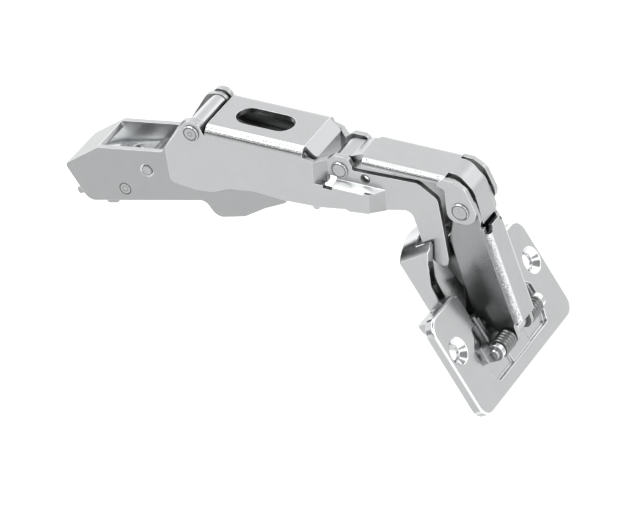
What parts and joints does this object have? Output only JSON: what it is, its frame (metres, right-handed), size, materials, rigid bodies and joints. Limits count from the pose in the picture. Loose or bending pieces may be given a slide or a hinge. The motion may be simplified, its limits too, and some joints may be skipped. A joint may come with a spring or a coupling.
{
  "type": "concealed cup hinge",
  "caption": "Wide-angle clip-on concealed cabinet hinge: folded arm, knee linkage and die-cast cup, shown opened out.",
  "frame": {"origin": "on the clip housing's foot line, in the middle plane, under the catch rivet", "axes": "+X from the clip housing towards the door, +Y across the hinge, +Z away from the cabinet side that the foot lies along"},
  "size_m": [0.1248, 0.0546, 0.0806],
  "materials": {
    "plated_steel": "satin nickel plate",
    "rivet_steel": "turned, nickel plate",
    "spring_steel": "drawn wire",
    "dark_steel": "plain plate, in shade",
    "die_cast_nickel": "cast, nickel plate"
  },
  "bodies": {
    "housing": {"clip_housing": "plated_steel", "pivot_sleeve": "plated_steel", "catch_rivet": "rivet_steel", "lever_rivet": "rivet_steel", "arm_pivot_rivet": "rivet_steel", "release_spring": "spring_steel"},
    "release_catch": {"release_lever": "die_cast_nickel"},
    "screw": {"depth_screw": "dark_steel"},
    "arm": {"arm_channel": "plated_steel", "knee_rivet": "rivet_steel", "knee_washers": "dark_steel", "nose_rivet": "rivet_steel", "nose_spacers": "dark_steel"},
    "outer_link": {"outer_lever": "plated_steel", "elbow_rivet": "rivet_steel"},
    "cup_link": {"cup_lever": "plated_steel"},
    "cup": {"cup_body": "die_cast_nickel", "cup_pin": "rivet_steel", "guide_pin": "rivet_steel", "closing_spring": "spring_steel"},
    "cross_link": {"cross_lever": "dark_steel", "cross_pin": "rivet_steel"},
    "guide_link": {"guide_lever": "dark_steel"}
  },
  "joints": [
    {"name": "arm_tilt", "type": "hinge", "parent": "housing", "child": "arm", "pos_m": [0.0191, 0, 0.0218], "axis": [0, -1, 0], "range_deg": [0, 14]},
    {"name": "main_fold", "type": "hinge", "parent": "arm", "child": "outer_link", "pos_m": [0.05925, 0, 0.0088], "axis": [0, -1, 0], "range_deg": [0, 85]},
    {"name": "elbow_fold", "type": "hinge", "parent": "outer_link", "child": "cup_link", "pos_m": [0.09191, 0, -0.00383], "axis": [0, -1, 0], "range_deg": [-70.5, 0.5]},
    {"name": "cup_turn", "type": "hinge", "parent": "cup_link", "child": "cup", "pos_m": [0.09409, 0, -0.04299], "axis": [0, -1, 0], "range_deg": [-0.5, 135.5]},
    {"name": "cross_turn", "type": "hinge", "parent": "arm", "child": "cross_link", "pos_m": [0.08114, 0, -0.01583], "axis": [0, -1, 0], "range_deg": [-0.5, 140.5]},
    {"name": "guide_turn", "type": "hinge", "parent": "cup", "child": "guide_link", "pos_m": [0.08328, 0, -0.03925], "axis": [0, -1, 0], "range_deg": [-51.5, 0.5]},
    {"name": "release_press", "type": "hinge", "parent": "housing", "child": "release_catch", "pos_m": [-0.0088, 0, 0.0036], "axis": [0, -1, 0], "range_deg": [-10, 0], "stiffness_Nm_per_rad": 0.2, "springref_deg": 5.73},
    {"name": "depth_turn", "type": "hinge", "parent": "housing", "child": "screw", "pos_m": [0.0335, 0, 0.009], "axis": [0, 0, 1], "range_deg": [-170, 170]}
  ],
  "couplings": [
    {"joint": "elbow_fold", "follows": "main_fold", "ratio": -0.8176},
    {"joint": "cup_turn", "follows": "main_fold", "ratio": 1.5824},
    {"joint": "cross_turn", "follows": "main_fold", "ratio": 1.64},
    {"joint": "guide_turn", "follows": "main_fold", "ratio": -0.6}
  ]
}
